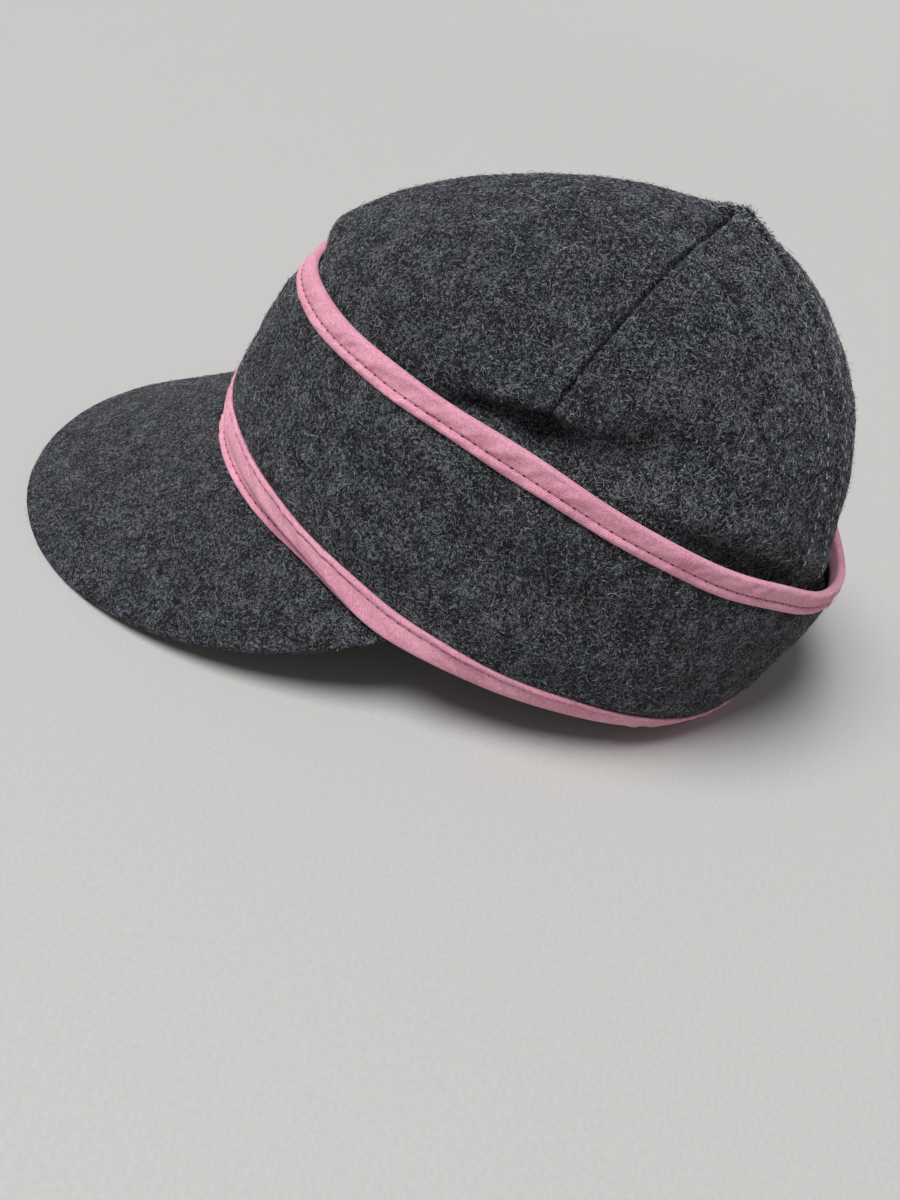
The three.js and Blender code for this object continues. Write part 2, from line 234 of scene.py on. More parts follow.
def band_face(azimuth, share):
    """The band's plain face. share runs from 0 at the rim to 1 at its top edge."""
    top = dome(azimuth, lift_at(round_cap("band_top", azimuth)))
    top = top + outward(azimuth) * round_cap("stand_off", azimuth)[..., None]
    rim = outline(azimuth, 0, RIM_REAR_REACH)
    rim[..., 2] = round_cap("rim", azimuth)
    swell = round_cap("swell", azimuth) * 4 * share * (1 - share)
    return mix(rim, top, np.asarray(share)[..., None]) + outward(azimuth) * swell[..., None]


def dent(rows, azimuth, height):
    degrees = degrees_from_front(azimuth)
    total = np.zeros(np.broadcast(degrees, height).shape)
    for row in rows:
        aside = ((degrees - row.at) / row.spread) ** 2
        crest = row.height + row.climb * (degrees - row.at)
        up = ((height - crest) / row.reach) ** 2
        total += row.depth * np.exp(-aside - up)
    return total


def crown_behind_band(azimuth, share):
    foot_share = band_share(azimuth, round_cap("band_foot", azimuth)) + 1e-6
    flare = round_cap("flare", azimuth) * np.clip(1 - share / foot_share, 0, 1)
    depth = mix(BEHIND_BAND, round_cap("behind", azimuth), share**2) - flare
    point = band_face(azimuth, share)
    pushed = depth + dent(CROWN_DENTS, azimuth, point[..., 2])
    return point - outward(azimuth) * pushed[..., None]


def crown_above_band(azimuth, lift):
    point = dome(azimuth, lift)
    above = point[..., 2] - round_cap("band_top", azimuth)
    step_in = round_cap("behind", azimuth) - round_cap("stand_off", azimuth)
    tuck = step_in * (1 - smooth(above / TUCK_REACH))
    pushed = tuck + dent(CROWN_DENTS, azimuth, point[..., 2])
    return point - outward(azimuth) * pushed[..., None]


def crown_face(azimuth, rise):
    """The whole crown. rise runs from 0 to 1 behind the band, then from 1 to 2 up to its apex."""
    low = crown_behind_band(azimuth, np.clip(rise, 0, 1))
    low = low - outward(azimuth) * roll_under(azimuth, low[..., 2])[..., None]
    start = lift_at(round_cap("band_top", azimuth))
    apex = np.arccos((APEX_ROW_RADIUS / RIM_HALF_WIDTH) ** (1 / DOME_TAPER))
    high = crown_above_band(azimuth, mix(start, apex, np.clip(rise - 1, 0, 1)))
    return np.where((rise <= 1)[..., None], low, high)


def peak_face(along, reach):
    """The peak's upper face. along runs from -1 to 1 between its ends, reach from the rim out."""
    azimuth = along * PEAK_HALF_SPAN * DEG
    length = PEAK_REACH * (1 - np.abs(along) ** PEAK_ROUNDNESS) ** PEAK_FULLNESS
    out = length * np.clip(reach, 0, None)
    point = outline(azimuth, 0, RIM_REAR_REACH)
    point = point + outward(azimuth) * (np.clip(reach, None, 0) * PEAK_SEAM_DEPTH)[..., None]
    point = point + outward(azimuth * PEAK_FAN) * out[..., None]
    arch = PEAK_ARCH * (point[..., 0] / RIM_HALF_WIDTH) ** 2 * out / PEAK_REACH
    point[..., 2] = -GAP - out * math.tan(PEAK_DROOP * DEG) - arch
    return point


def crown_foot(azimuth):
    """Height of the folded lower edge of the crown's tape, which is hidden just above the band's."""
    return round_cap("rim", azimuth) + 0.8 * smooth((np.abs(np.sin(azimuth / 2)) - 0.62) / 0.08)


def normals_of(surface, azimuth, along):
    step = 1e-3
    across = surface(azimuth + step, along) - surface(azimuth - step, along)
    up = surface(azimuth, along + step) - surface(azimuth, along - step)
    normal = np.cross(across, up)
    return normal / np.linalg.norm(normal, axis=-1, keepdims=True)


def inset_level(surface, azimuth, along, depth):
    """A depth of cloth in from a surface, measured on the level."""
    out = outward(azimuth)
    lean = (normals_of(surface, azimuth, along) * out).sum(-1)
    point = surface(azimuth, along)
    return point - out * (depth / lean + roll_under(azimuth, point[..., 2]))[..., None]


def roll_under(azimuth, height):
    """How far the cloth rolls in under near the rim."""
    above_rim = np.clip((height - round_cap("rim", azimuth)) / ROLL_REACH, 0, 1)
    return round_cap("roll", azimuth) * (1 - above_rim) ** 2


def lay_down(points, lowest=0.0):
    """From the rim's frame, in millimetres, to the cap as it rests, in metres, and no lower than lowest."""
    y = points[..., 1] * math.cos(REST_TILT) - points[..., 2] * math.sin(REST_TILT)
    z = points[..., 1] * math.sin(REST_TILT) + points[..., 2] * math.cos(REST_TILT)
    laid = vectors(points[..., 0], y, z) + np.array(REST_PLACE)
    laid[..., 2] = np.maximum(laid[..., 2], lowest)
    return laid * MM


def stood_up(points):
    """The way back, from the cap as it rests, in metres, to the rim's frame, in millimetres."""
    laid = np.asarray(points) / MM - np.array(REST_PLACE)
    y = laid[..., 1] * math.cos(REST_TILT) + laid[..., 2] * math.sin(REST_TILT)
    z = -laid[..., 1] * math.sin(REST_TILT) + laid[..., 2] * math.cos(REST_TILT)
    return vectors(laid[..., 0], y, z)


def undulation(points, size, seed):
    """Soft uneven swells of cloth, one number for each point, of about one either way."""
    flat = points.reshape(-1, 3) / size + seed
    return np.array([noise.noise(p) for p in flat.tolist()]).reshape(points.shape[:-1])


def swelling(points, rows):
    """How far cloth stands out in soft swells."""
    return sum(row["height"] * undulation(points, row["size"], row["seed"]) for row in rows)


def cloth_grid(name, points, cloth, around=False, through=False, lowest=0.0):
    """A sheet of faces over a grid of places. cloth holds where each place lies on the flat cloth.

    around joins the last column to the first, and through joins the last row to the first. lowest
    is how high the sheet lies where it is pressed flat, as bound cloth lies on its tape. It is one
    height, or one for each row.
    """
    columns, rows = points.shape[:2]
    bm = bmesh.new()
    bmesh.ops.create_grid(bm, x_segments=columns - 1, y_segments=rows - 1, size=1)
    mesh = bpy.data.meshes.new(name)
    bm.to_mesh(mesh)
    bm.free()
    flat = np.zeros(len(mesh.vertices) * 3, np.float32)
    mesh.vertices.foreach_get("co", flat)
    flat = flat.reshape(-1, 3)
    column = np.rint((flat[:, 0] + 1) / 2 * (columns - 1)).astype(int)
    row = np.rint((flat[:, 1] + 1) / 2 * (rows - 1)).astype(int)
    mesh.vertices.foreach_set("co", lay_down(points, lowest)[column, row].astype(np.float32).ravel())
    corners = np.zeros(len(mesh.loops), np.int32)
    mesh.loops.foreach_get("vertex_index", corners)
    layer = mesh.uv_layers.new(name="cloth")
    layer.data.foreach_set("uv", cloth[column, row][corners].astype(np.float32).ravel())
    if around or through:
        bm = bmesh.new()
        bm.from_mesh(mesh)
        bmesh.ops.remove_doubles(bm, verts=bm.verts, dist=1e-7)
        bmesh.ops.recalc_face_normals(bm, faces=bm.faces)
        bm.to_mesh(mesh)
        bm.free()
    return finished(name, mesh)


def finished(name, mesh):
    piece = bpy.data.objects.new(name, mesh)
    bpy.context.scene.collection.objects.link(piece)
    mesh.shade_smooth()
    return piece


def belongs(piece, slot, finishes, *nodes):
    """The piece rides with the cap, takes its finishes and stands for nodes of the frame."""
    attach(piece, "root")
    if nodes:
        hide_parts(*nodes)
    for finish in finishes:
        piece.data.materials.append(finish)
    return piece


class Value:
    """A number over a surface. Arithmetic on it adds the Math nodes."""

    def __init__(self, finish, socket):
        self.finish = finish
        self.socket = socket

    def math(self, operation, *others, first=None):
        terms = [self, *others] if first is None else [first, self, *others]
        return self.finish.add("ShaderNodeMath", {"operation": operation}, dict(enumerate(terms)))

    def __add__(self, other):
        return self.math("ADD", other)

    __radd__ = __add__

    def __sub__(self, other):
        return self.math("SUBTRACT", other)

    def __rsub__(self, other):
        return self.math("SUBTRACT", first=other)

    def __mul__(self, other):
        return self.math("MULTIPLY", other)

    __rmul__ = __mul__

    def __truediv__(self, other):
        return self.math("DIVIDE", other)

    def __pow__(self, other):
        return self.math("POWER", other)

    def sine(self):
        return self.math("SINE")

    def fraction(self):
        return self.math("FRACT")

    def size(self):
        return self.math("ABSOLUTE")

    def larger(self, other):
        return self.math("MAXIMUM", other)

    def between(self, low, high):
        """0 below low, 1 above high and smooth between them."""
        settings = {"interpolation_type": "SMOOTHSTEP"}
        sockets = {"Value": self, "From Min": low, "From Max": high}
        return self.finish.add("ShaderNodeMapRange", settings, sockets)


class Finish:
    """A material built from nodes."""

    def __init__(self, name):
        self.material = bpy.data.materials.new(name)
        self.material.use_nodes = True
        self.tree = self.material.node_tree
        self.tree.nodes.clear()

    def add(self, kind, settings=None, sockets=None, output=0):
        node = self.tree.nodes.new(kind)
        for key, value in (settings or {}).items():
            setattr(node, key, value)
        for key, value in (sockets or {}).items():
            if isinstance(value, Value):
                self.tree.links.new(value.socket, node.inputs[key])
            else:
                node.inputs[key].default_value = value
        return Value(self, node.outputs[output]) if node.outputs else None

    def place(self):
        """Where a point lies on its piece, in metres."""
        return self.add("ShaderNodeTexCoord", output="Object")

    def blend(self, share, first, second):
        """A colour between two. A Mix node takes them in at 6 and 7, and gives theirs out at 2."""
        sockets = {0: share, 6: first, 7: second}
        return self.add("ShaderNodeMix", {"data_type": "RGBA"}, sockets, output=2)

    def noise(self, place, scale, detail=2.0, roughness=0.5, distortion=0.0):
        sockets = {
            "Vector": place,
            "Scale": scale,
            "Detail": detail,
            "Roughness": roughness,
            "Distortion": distortion,
        }
        return self.add("ShaderNodeTexNoise", {"noise_dimensions": "3D"}, sockets)

    def turned(self, place, rotation, scale):
        return self.add("ShaderNodeMapping", None, {"Vector": place, "Rotation": rotation, "Scale": scale})

    def split(self, vector):
        """The three parts of a vector."""
        first = self.add("ShaderNodeSeparateXYZ", None, {0: vector})
        return [Value(self, output) for output in first.socket.node.outputs]

    def close(self, color, height, depth, bump, roughness, sheen):
        """The material. height raises it by up to depth, in metres, with a strength of bump."""
        normal = self.add("ShaderNodeBump", None, {"Height": height, "Distance": depth, "Strength": bump})
        shader = self.add("ShaderNodeBsdfPrincipled", None, {
            "Base Color": color,
            "Roughness": roughness,
            "Normal": normal,
            "Sheen Weight": sheen,
            "Sheen Roughness": 0.5,
            "Specular IOR Level": 0.25,
        })
        self.add("ShaderNodeOutputMaterial", None, {"Surface": shader})
        return self.material


def linear(red, green, blue):
    """A colour given in 0 to 255 as it is seen, as the linear colour that a shader takes."""
    seen = [c / 255 for c in (red, green, blue)]
    return [*(c / 12.92 if c <= 0.04045 else ((c + 0.055) / 1.055) ** 2.4 for c in seen), 1.0]


WOOL_DARK = linear(7, 8, 12)
WOOL_COOL = linear(162, 170, 184)
WOOL_WARM = linear(170, 171, 181)
TAPE_PINK = linear(243, 178, 198)
TAPE_DEEP = linear(190, 117, 139)
# Painted shade: the dark of the tape's needle holes and of the groove along its stitch row
NEEDLE_HOLE_PAINTED_SHADE = linear(84, 34, 50)
STITCH_ROW_PAINTED_SHADE = linear(172, 98, 120)
TAPE_THREAD = linear(190, 112, 136)
WOOL_THREAD = linear(178, 179, 184)

# Directions of the wool's fibres, as turns about the three axes, and whether they are pale or dark.
# FIBRE_SCALE is how many fibres lie in a metre, along them and across
FIBRE_SCALE = (850.0, 4200.0, 4200.0)
FIBRES = (
    {"turn": (0.3, 0.5, 0.2), "pale": True},
    {"turn": (1.2, 0.1, 1.0), "pale": True},
    {"turn": (0.4, 1.3, 2.1), "pale": False},
    {"turn": (2.0, 0.7, 0.6), "pale": False},
)

# Single fibres on the wool, each of one colour as in the fleece, and how many of a hundred have it
NAP_SHADES = (
    {"name": "nap_pale", "color": linear(206, 210, 214), "of_hundred": 32},
    {"name": "nap_grey", "color": linear(122, 127, 134), "of_hundred": 28},
    {"name": "nap_dark", "color": linear(10, 11, 15), "of_hundred": 40},
)

# Kinds of fibre: length, the rings along it, how far it lifts off the cloth, and its radius
NAP_FIBRE = {"length": 1.5, "rings": 1, "lift": 0.1, "thick": 0.046}
FRAYED_END = {"length": 1.1, "rings": 1, "lift": 0.3, "thick": 0.1}
STRAY_HAIR = {"length": 3.6, "rings": 5, "lift": 0.22, "thick": 0.036}

# How many there are, and the share of them that stand up
BAND_FIBRES = 22000
PEAK_FIBRES = 12000
FIBRES_FOR_EACH_HAIR = 80
FRAYED_ENDS_OF_A_PANEL = 220
STANDING_SHARE = 0.07

# Where each kind's row of random seeds starts
NAP_SEED = 0
STRAY_SEED = 50
FRAYED_SEED = 90


def melton_wool():
    """Charcoal heather wool: light and dark fibres lying every way, felted together."""
    finish = Finish("melton_wool")
    place = finish.place()
    pale, dark = None, None
    for number, row in enumerate(FIBRES):
        stretched = finish.turned(place, row["turn"], FIBRE_SCALE)
        streak = finish.noise(stretched, 1.0, 1.5, 0.6, 0.4 + 0.1 * number).between(0.50, 0.70)
        if row["pale"]:
            pale = streak if pale is None else pale.larger(streak)
        else:
            dark = streak if dark is None else dark.larger(streak)
    grain = finish.noise(place, 2300.0, 1.0, 0.5)
    clumps = finish.noise(place, 900.0, 2.0, 0.6)
    clouds = finish.noise(place, 160.0, 2.0, 0.5)
    uneven = (grain - 0.5) * 2.2 + (clumps - 0.5) * 2.4 + (clouds - 0.5) * 1.1
    light = 0.395 + pale * 0.80 - dark * 0.72 + uneven
    pale_wool = finish.blend(finish.noise(place, 95.0, 2.0, 0.5).between(0.35, 0.65), WOOL_COOL, WOOL_WARM)
    color = finish.blend(light.between(-0.12, 1.4) ** 2.0, WOOL_DARK, pale_wool)
    height = pale * 0.5 - dark * 0.4 + grain * 0.5 + clumps * 0.5
    return finish.close(color, height, depth=0.001, bump=1.0, roughness=0.95, sheen=0.03)


def nap_fibre(name, color):
    """One fibre's colour. It is the same all along the fibre, as fleece is dyed before it is felted."""
    finish = Finish(name)
    shader = finish.add("ShaderNodeBsdfPrincipled", None, {
        "Base Color": color,
        "Roughness": 0.8,
        "Specular IOR Level": 0.3,
    })
    finish.add("ShaderNodeOutputMaterial", None, {"Surface": shader})
    return finish.material


def bias_tape():
    """Pink cotton plain weave cut on the bias, with painted shade along the groove of its stitch row and in
    its needle holes.
    """
    finish = Finish("bias_tape")
    cloth = finish.add("ShaderNodeUVMap", {"uv_map": "cloth"})
    along, across, _ = finish.split(cloth)
    place = finish.place()
    thread = 2 * math.pi / (WEAVE_PITCH * math.sqrt(2))
    warp = ((along + across) * thread).sine()
    weft = ((along - across) * thread).sine()
    weave = warp * 0.75 + warp * weft * 0.45
    slub = finish.noise(place, 1300.0, 2.0, 0.55)
    clouds = finish.noise(place, 120.0, 2.0, 0.5)
    share = (0.50 + weave * 0.24 + (slub - 0.5) * 0.9 + (clouds - 0.5) * 0.5).between(0.0, 1.0)
    color = finish.blend(share, TAPE_DEEP, TAPE_PINK)
    # Painted shade: the colour darkens along the stitch row's groove and in dark dots at its needle holes
    row_groove_shade = 1 - (across**2 * 12.0).between(0.2, 1.4)
    color = finish.blend(row_groove_shade * 0.5, color, STITCH_ROW_PAINTED_SHADE)
    step = (along / STITCH_PITCH).fraction()
    hole = ((step - 0.5).size() * STITCH_PITCH) ** 2 * 2.0 + across**2 * 12.0
    color = finish.blend(1 - hole.between(0.15, 1.0), color, NEEDLE_HOLE_PAINTED_SHADE)
    height = weave * 0.5 + slub * 0.6
    return finish.close(color, height, depth=0.00014, bump=0.7, roughness=0.85, sheen=0.12)


def stitch_thread(name, color):
    finish = Finish(name)
    place = finish.place()
    twist = finish.noise(place, 2500.0, 1.0, 0.5)
    dark = [channel * 0.72 for channel in color[:3]] + [1.0]
    shade = finish.blend(twist.between(0.3, 0.7), dark, color)
    return finish.close(shade, twist, depth=0.0001, bump=0.5, roughness=0.7, sheen=0.1)


WOOL = [melton_wool()]
TAPE = [bias_tape()]
NAP = [nap_fibre(row["name"], row["color"]) for row in NAP_SHADES]
TAPE_STITCH = [stitch_thread("tape_thread", TAPE_THREAD)]
WOOL_STITCH = [stitch_thread("wool_thread", WOOL_THREAD)]


def seam_pull(distance):
    """How deep a panel's edge turns in beside a seam: a sharp fold in a soft hollow."""
    fold = 1.6 * np.exp(-((distance / 0.7) ** 2)) + 0.22 * np.exp(-((distance / 1.6) ** 2))
    return fold - 0.22 * np.exp(-(((distance - 3.2) / 1.8) ** 2))


def seam_columns(from_seam, to_seam, step):
    """Angles from seam to seam, in degrees, set close together beside each seam."""
    edge = np.array([0, 0.12, 0.28, 0.5, 0.8, 1.15, 1.6, 2.2, 3])
    middle = np.arange(3 + step, (to_seam - from_seam) / 2, step)
    half = np.concatenate([edge, middle])
    return np.concatenate([from_seam + half, (to_seam - half)[::-1]])


def crown_swells(face):
    """How far the crown's cloth stands out from its plain form in soft swells, none at the apex."""
    radius = np.hypot(face[..., 0], face[..., 1] - APEX_BEHIND_MIDDLE)
    return swelling(face, CROWN_SWELLS) * smooth(radius / 16)


def crown_panel(name, from_seam, to_seam):
    """One wool panel: a closed wall whose edges turn in at its two seams."""
    azimuth = seam_columns(from_seam, to_seam, 1.05)[:, None] * DEG
    behind_rows, above_rows = 16, 84
    foot_height = crown_foot(azimuth) + FOLD_WALL + GAP
    foot = band_share(azimuth, foot_height)
    behind = mix(foot, 1.0, np.linspace(0, 1, behind_rows)[None, :] ** 0.8)
    above = 1 + np.linspace(0, 1, above_rows + 1)[None, 1:] + 0 * azimuth
    rise = np.concatenate([behind, above], 1)
    azimuth = np.broadcast_to(azimuth, rise.shape)
    face = crown_face(azimuth, rise)
    normal = normals_of(crown_face, azimuth, rise)
    radius = np.hypot(face[..., 0], face[..., 1] - APEX_BEHIND_MIDDLE)
    aside = np.minimum(azimuth - from_seam * DEG, to_seam * DEG - azimuth) * radius
    over_tape = face[..., 2] - crown_foot(azimuth) - TAPE_WIDTH
    free = smooth((over_tape - 1) / 6)
    ragged = 1 + 0.45 * undulation(face, 3.5, 12)
    closed_low = mix(0.25, 1, smooth((face[..., 2] - 66) / 7))
    pull = seam_pull(aside * ragged) * free * smooth(radius / 5) * closed_low
    pressed = WOOL_PRESSED * (1 - smooth(over_tape / 2))
    swells = crown_swells(face) * free
    knot = KNOT_HEIGHT * np.exp(-((radius / KNOT_RADIUS) ** 2)) * (1 + 0.6 * undulation(face, 3.2, 4))
    creases = dent(CREASES, azimuth, face[..., 2])
    depth = pull + pressed - swells - knot
    under_seam = 1 - smooth((aside - SEAM_ALLOWANCE_WIDTH) / 0.5)
    allowance = SEAM_ALLOWANCE_WALL * under_seam * free * smooth((radius - 7) / 3)
    lining = WOOL_WALL - pressed * 0.6 + allowance - swells - knot
    shift = outward(azimuth) * creases[..., None]
    outer = face - normal * depth[..., None] - shift
    inner = face - normal * np.maximum(lining, depth + 0.4)[..., None] - shift
    low = (outer[:, :1] + inner[:, :1]) / 2
    apex = np.zeros_like(low) + np.array([0, APEX_BEHIND_MIDDLE, CROWN_HEIGHT + 1.7])
    outer = np.concatenate([low, outer, apex], 1)
    inner = np.concatenate([low, inner, apex], 1)
    points = np.concatenate([outer, inner[::-1], outer[:1]], 0)
    side = np.concatenate([azimuth[:, :1], azimuth, azimuth[:, -1:]], 1)
    cloth = np.stack([side * 60, outer[..., 2]], -1)
    cloth = np.concatenate([cloth, cloth[::-1], cloth[:1]], 0)
    return cloth_grid(name, points, cloth, around=True, lowest=TAPE_WALL)


def ear_band():
    """The loop of wool folded up round the crown, closed all round, with soft swells."""
    columns, rows = 460, 36
    azimuth = np.linspace(0, 2 * math.pi, columns + 1)[:, None]
    foot = round_cap("band_foot", azimuth)
    top = round_cap("band_top", azimuth)
    up = np.linspace(0, 1, rows + 1)[None, :]
    height = mix(foot + FOLD_WALL + GAP, top - FOLD_WALL - GAP, up)
    azimuth, height = np.broadcast_arrays(azimuth, height)
    share = band_share(azimuth, height)
    from_foot = height - foot - TAPE_WIDTH
    from_top = top - TAPE_WIDTH - height
    pressed = WOOL_PRESSED * (1 - smooth(np.minimum(from_foot, from_top) / 1.5))
    face = band_face(azimuth, share)
    swells = swelling(face, BAND_SWELLS)
    degrees = degrees_from_front(azimuth)
    on_side = smooth((degrees - 40) / 18) * (1 - smooth((degrees - 108) / 24))
    swells -= SIDE_FOLD_DEPTH * on_side * np.sin(2 * math.pi * (share - 0.44) / SIDE_FOLD_PITCH)
    swells = swells * smooth(from_foot / 7) * smooth(from_top / 7)
    outer = inset_level(band_face, azimuth, share, pressed - swells)
    inner = inset_level(band_face, azimuth, share, np.maximum(WOOL_WALL - pressed, 2.0) - swells)
    points = np.concatenate([outer, inner[:, ::-1], outer[:, :1]], 1)
    around = np.broadcast_to(azimuth * 90, height.shape)
    cloth = np.stack([around, height], -1)
    cloth = np.concatenate([cloth, cloth[:, ::-1], cloth[:, :1]], 1)
    return cloth_grid("ear_band_cloth", points, cloth, around=True, through=True, lowest=TAPE_WALL)


def drag_lines(along, near):
    """Small uneven wrinkles that run slantwise from a row of stitches, among a few longer ones."""
    shape = np.broadcast(along, near).shape
    total = np.zeros(shape)
    for slope, length, width in ((1.1, 3.1, 6), (2.6, 8, 4)):
        slant = np.broadcast_to(along + slope * near, shape) / length
        place = np.stack([slant, np.broadcast_to(near, shape) / width, np.full(shape, length)], -1)
        total += undulation(place, 1, 0.5)
    return total


def tape_rows(along, wide, stitch_up):
    """The rows of a folded tape's wall: how far up each lies, its depth and how low it may be pressed.

    They run down the face, round the fold, up the far side and back along the cloth that is bound.
    near is how far a row lies from the stitches, on the flat tape.
    """
    rows = []
    turn = 2 * math.pi * along / STITCH_PITCH
    for share in np.linspace(0, 1, 17):
        up = mix(wide, 1.15, share)
        near = up - stitch_up
        groove = TAPE_GROOVE * np.exp(-((near / 0.45) ** 2))
        lip = TAPE_LIP * np.exp(-(((up - (wide + stitch_up) / 2) / 1.1) ** 2))
        body = TAPE_BODY * np.exp(-(((up - stitch_up * 0.45) / 1.4) ** 2))
        hem = TAPE_HEM * smooth((up - wide + 0.5) / 0.5)
        pucker = TAPE_PUCKER * np.cos(turn + 1.2 * near) * np.exp(-((near / 2.4) ** 2))
        drag = TAPE_DRAG * drag_lines(along, near) * smooth(np.abs(near) / 0.8) * smooth((wide - up) / 1)
        depth = TAPE_EASE + groove - lip - body + hem + pucker - drag
        rows.append({"up": up, "depth": depth, "near": near, "lowest": 0})
    for bend in np.linspace(0.15, 0.85, 6) * math.pi:
        up = 1.0 - np.sin(bend) + 0 * wide
        depth = BOUND_EDGE / 2 - BOUND_EDGE / 2 * np.cos(bend) + 0 * wide
        rows.append({"up": up, "depth": depth, "near": -stitch_up - 0.6 * bend, "lowest": 0})
    far_side = (
        (TAPE_WIDTH * 0.2, BOUND_EDGE),
        (TAPE_WIDTH * 0.5, BOUND_EDGE),
        (TAPE_WIDTH, BOUND_EDGE),
    )
    along_cloth = (
        (TAPE_WIDTH, BOUND_EDGE - TAPE_WALL),
        (FOLD_WALL + 0.35, BOUND_EDGE - TAPE_WALL),
        (FOLD_WALL, BOUND_EDGE - 0.9),
        (FOLD_WALL, 0.95),
        (FOLD_WALL + 0.35, TAPE_WALL + 0.1),
        (wide, TAPE_WALL + 0.15),
    )
    for places, lowest in ((far_side, 0), (along_cloth, TAPE_PRESSED)):
        for up, depth in places:
            near = -stitch_up - 3 - up
            rows.append({"up": up + 0 * wide, "depth": depth + 0 * wide, "near": near, "lowest": lowest})
    return rows + rows[:1]


def folded_tape(name, surface, fold_height, side, stitch_share):
    """A tape folded over an edge of cloth, and its stitches.

    side is 1 where the cloth lies above the fold. stitch_share is how far the row of stitches lies
    from the fold, as a share of the width.
    """
    columns = 620
    azimuth = np.linspace(0, 2 * math.pi, columns + 1)
    fold = fold_height(azimuth)
    edge = surface(azimuth, band_share(azimuth, fold))
    along = np.concatenate([[0], np.cumsum(np.linalg.norm(np.diff(edge, axis=0), axis=1))])
    stitches = round(along[-1] / STITCH_PITCH)
    along = along * (stitches * STITCH_PITCH / along[-1])
    wide = TAPE_WIDTH + 0.25 * np.sin(along / 23) * np.sin(along / 7.3 + 1)
    wave = TAPE_WAVE * np.sin(along / 9) * np.sin(along / 31 + 1)
    stitch_up = wide * stitch_share
    rows = tape_rows(along, wide, stitch_up)

    def laid_at(up, depth):
        height = fold + side * (up + wave * (1 - up / (TAPE_WIDTH + 2)))
        return inset_level(surface, azimuth, band_share(azimuth, height), depth)

    points = np.stack([laid_at(row["up"], row["depth"]) for row in rows], 1)
    cloth = np.stack([np.stack([along, row["near"]], -1) for row in rows], 1)
    lowest = np.array([row["lowest"] for row in rows])
    tape = cloth_grid(name, points, cloth, around=True, through=True, lowest=lowest)
    line = laid_at(stitch_up, 0.30 + 0 * wide)
    places = (np.arange(stitches) + 0.5) * STITCH_PITCH
    return tape, row_of_stitches(name + "_stitches", line, along, places, radius=0.15, span=0.72)


def row_of_stitches(name, line, along, places, radius, span):
    """A stitch between each needle hole and the next: a short round thread whose ends dip in.

    span is how much of the pitch shows, as the rest is sunk in the cloth.
    """
    rings = 7
    sides = 6
    ahead = 0.3
    circle = np.arange(sides) * 2 * math.pi / sides
    away_from = outward(np.arctan2(line[:, 0], -line[:, 1]))

    def on_line(place, values):
        return np.stack([np.interp(place, along, values[:, n]) for n in range(3)], -1)

    bm = bmesh.new()
    for start in places:
        loops = []
        for share in np.linspace(0, 1, rings):
            place = (start + (0.5 + span * (share - 0.5)) * STITCH_PITCH) % along[-1]
            centre = on_line(place, line)
            away = on_line(place, away_from)
            forward = on_line(min(place + ahead, along[-1]), line) - on_line(max(place - ahead, 0), line)
            forward = forward / np.linalg.norm(forward)
            up = np.cross(forward, away)
            dip = 0.45 * (2 * share - 1) ** 4
            thick = radius * (1 - 0.45 * (2 * share - 1) ** 6)
            ring = thick * (np.cos(circle)[:, None] * away + np.sin(circle)[:, None] * up)
            loops.append([bm.verts.new(p) for p in lay_down(centre - away * dip + ring).tolist()])
        for first, second in zip(loops, loops[1:]):
            for n in range(sides):
                m = (n + 1) % sides
                bm.faces.new((first[n], first[m], second[m], second[n]))
        bm.faces.new(loops[0][::-1])
        bm.faces.new(loops[-1])
    bmesh.ops.recalc_face_normals(bm, faces=bm.faces)
    mesh = bpy.data.meshes.new(name)
    bm.to_mesh(mesh)
    bm.free()
    return finished(name, mesh)


def seam_stitches(name, seam, aside):
    """A row of stitches down the crown beside a seam, through the seam's turned-back edge."""
    rise = np.linspace(1.0, 1.93, 160)
    azimuth = np.full(rise.shape, seam * DEG)
    for _ in range(4):
        face = crown_face(azimuth, rise)
        radius = np.hypot(face[:, 0], face[:, 1] - APEX_BEHIND_MIDDLE)
        azimuth = seam * DEG + aside / radius
    face = crown_face(azimuth, rise)
    above = crown_swells(face) + 0.21 + 0.1 * undulation(face, 7, 31)
    line = face + normals_of(crown_face, azimuth, rise) * above[:, None]
    line = line - outward(azimuth) * dent(CREASES, azimuth, face[:, 2])[:, None]
    along = np.concatenate([[0], np.cumsum(np.linalg.norm(np.diff(line, axis=0), axis=1))])
    places = np.arange(0, along[-1] - STITCH_PITCH, STITCH_PITCH)
    return row_of_stitches(name, line, along, places, radius=0.22, span=0.48)


def numbers(items, key, width, kind):
    flat = np.zeros(len(items) * width, kind)
    items.foreach_get(key, flat)
    return flat.reshape(-1, width)


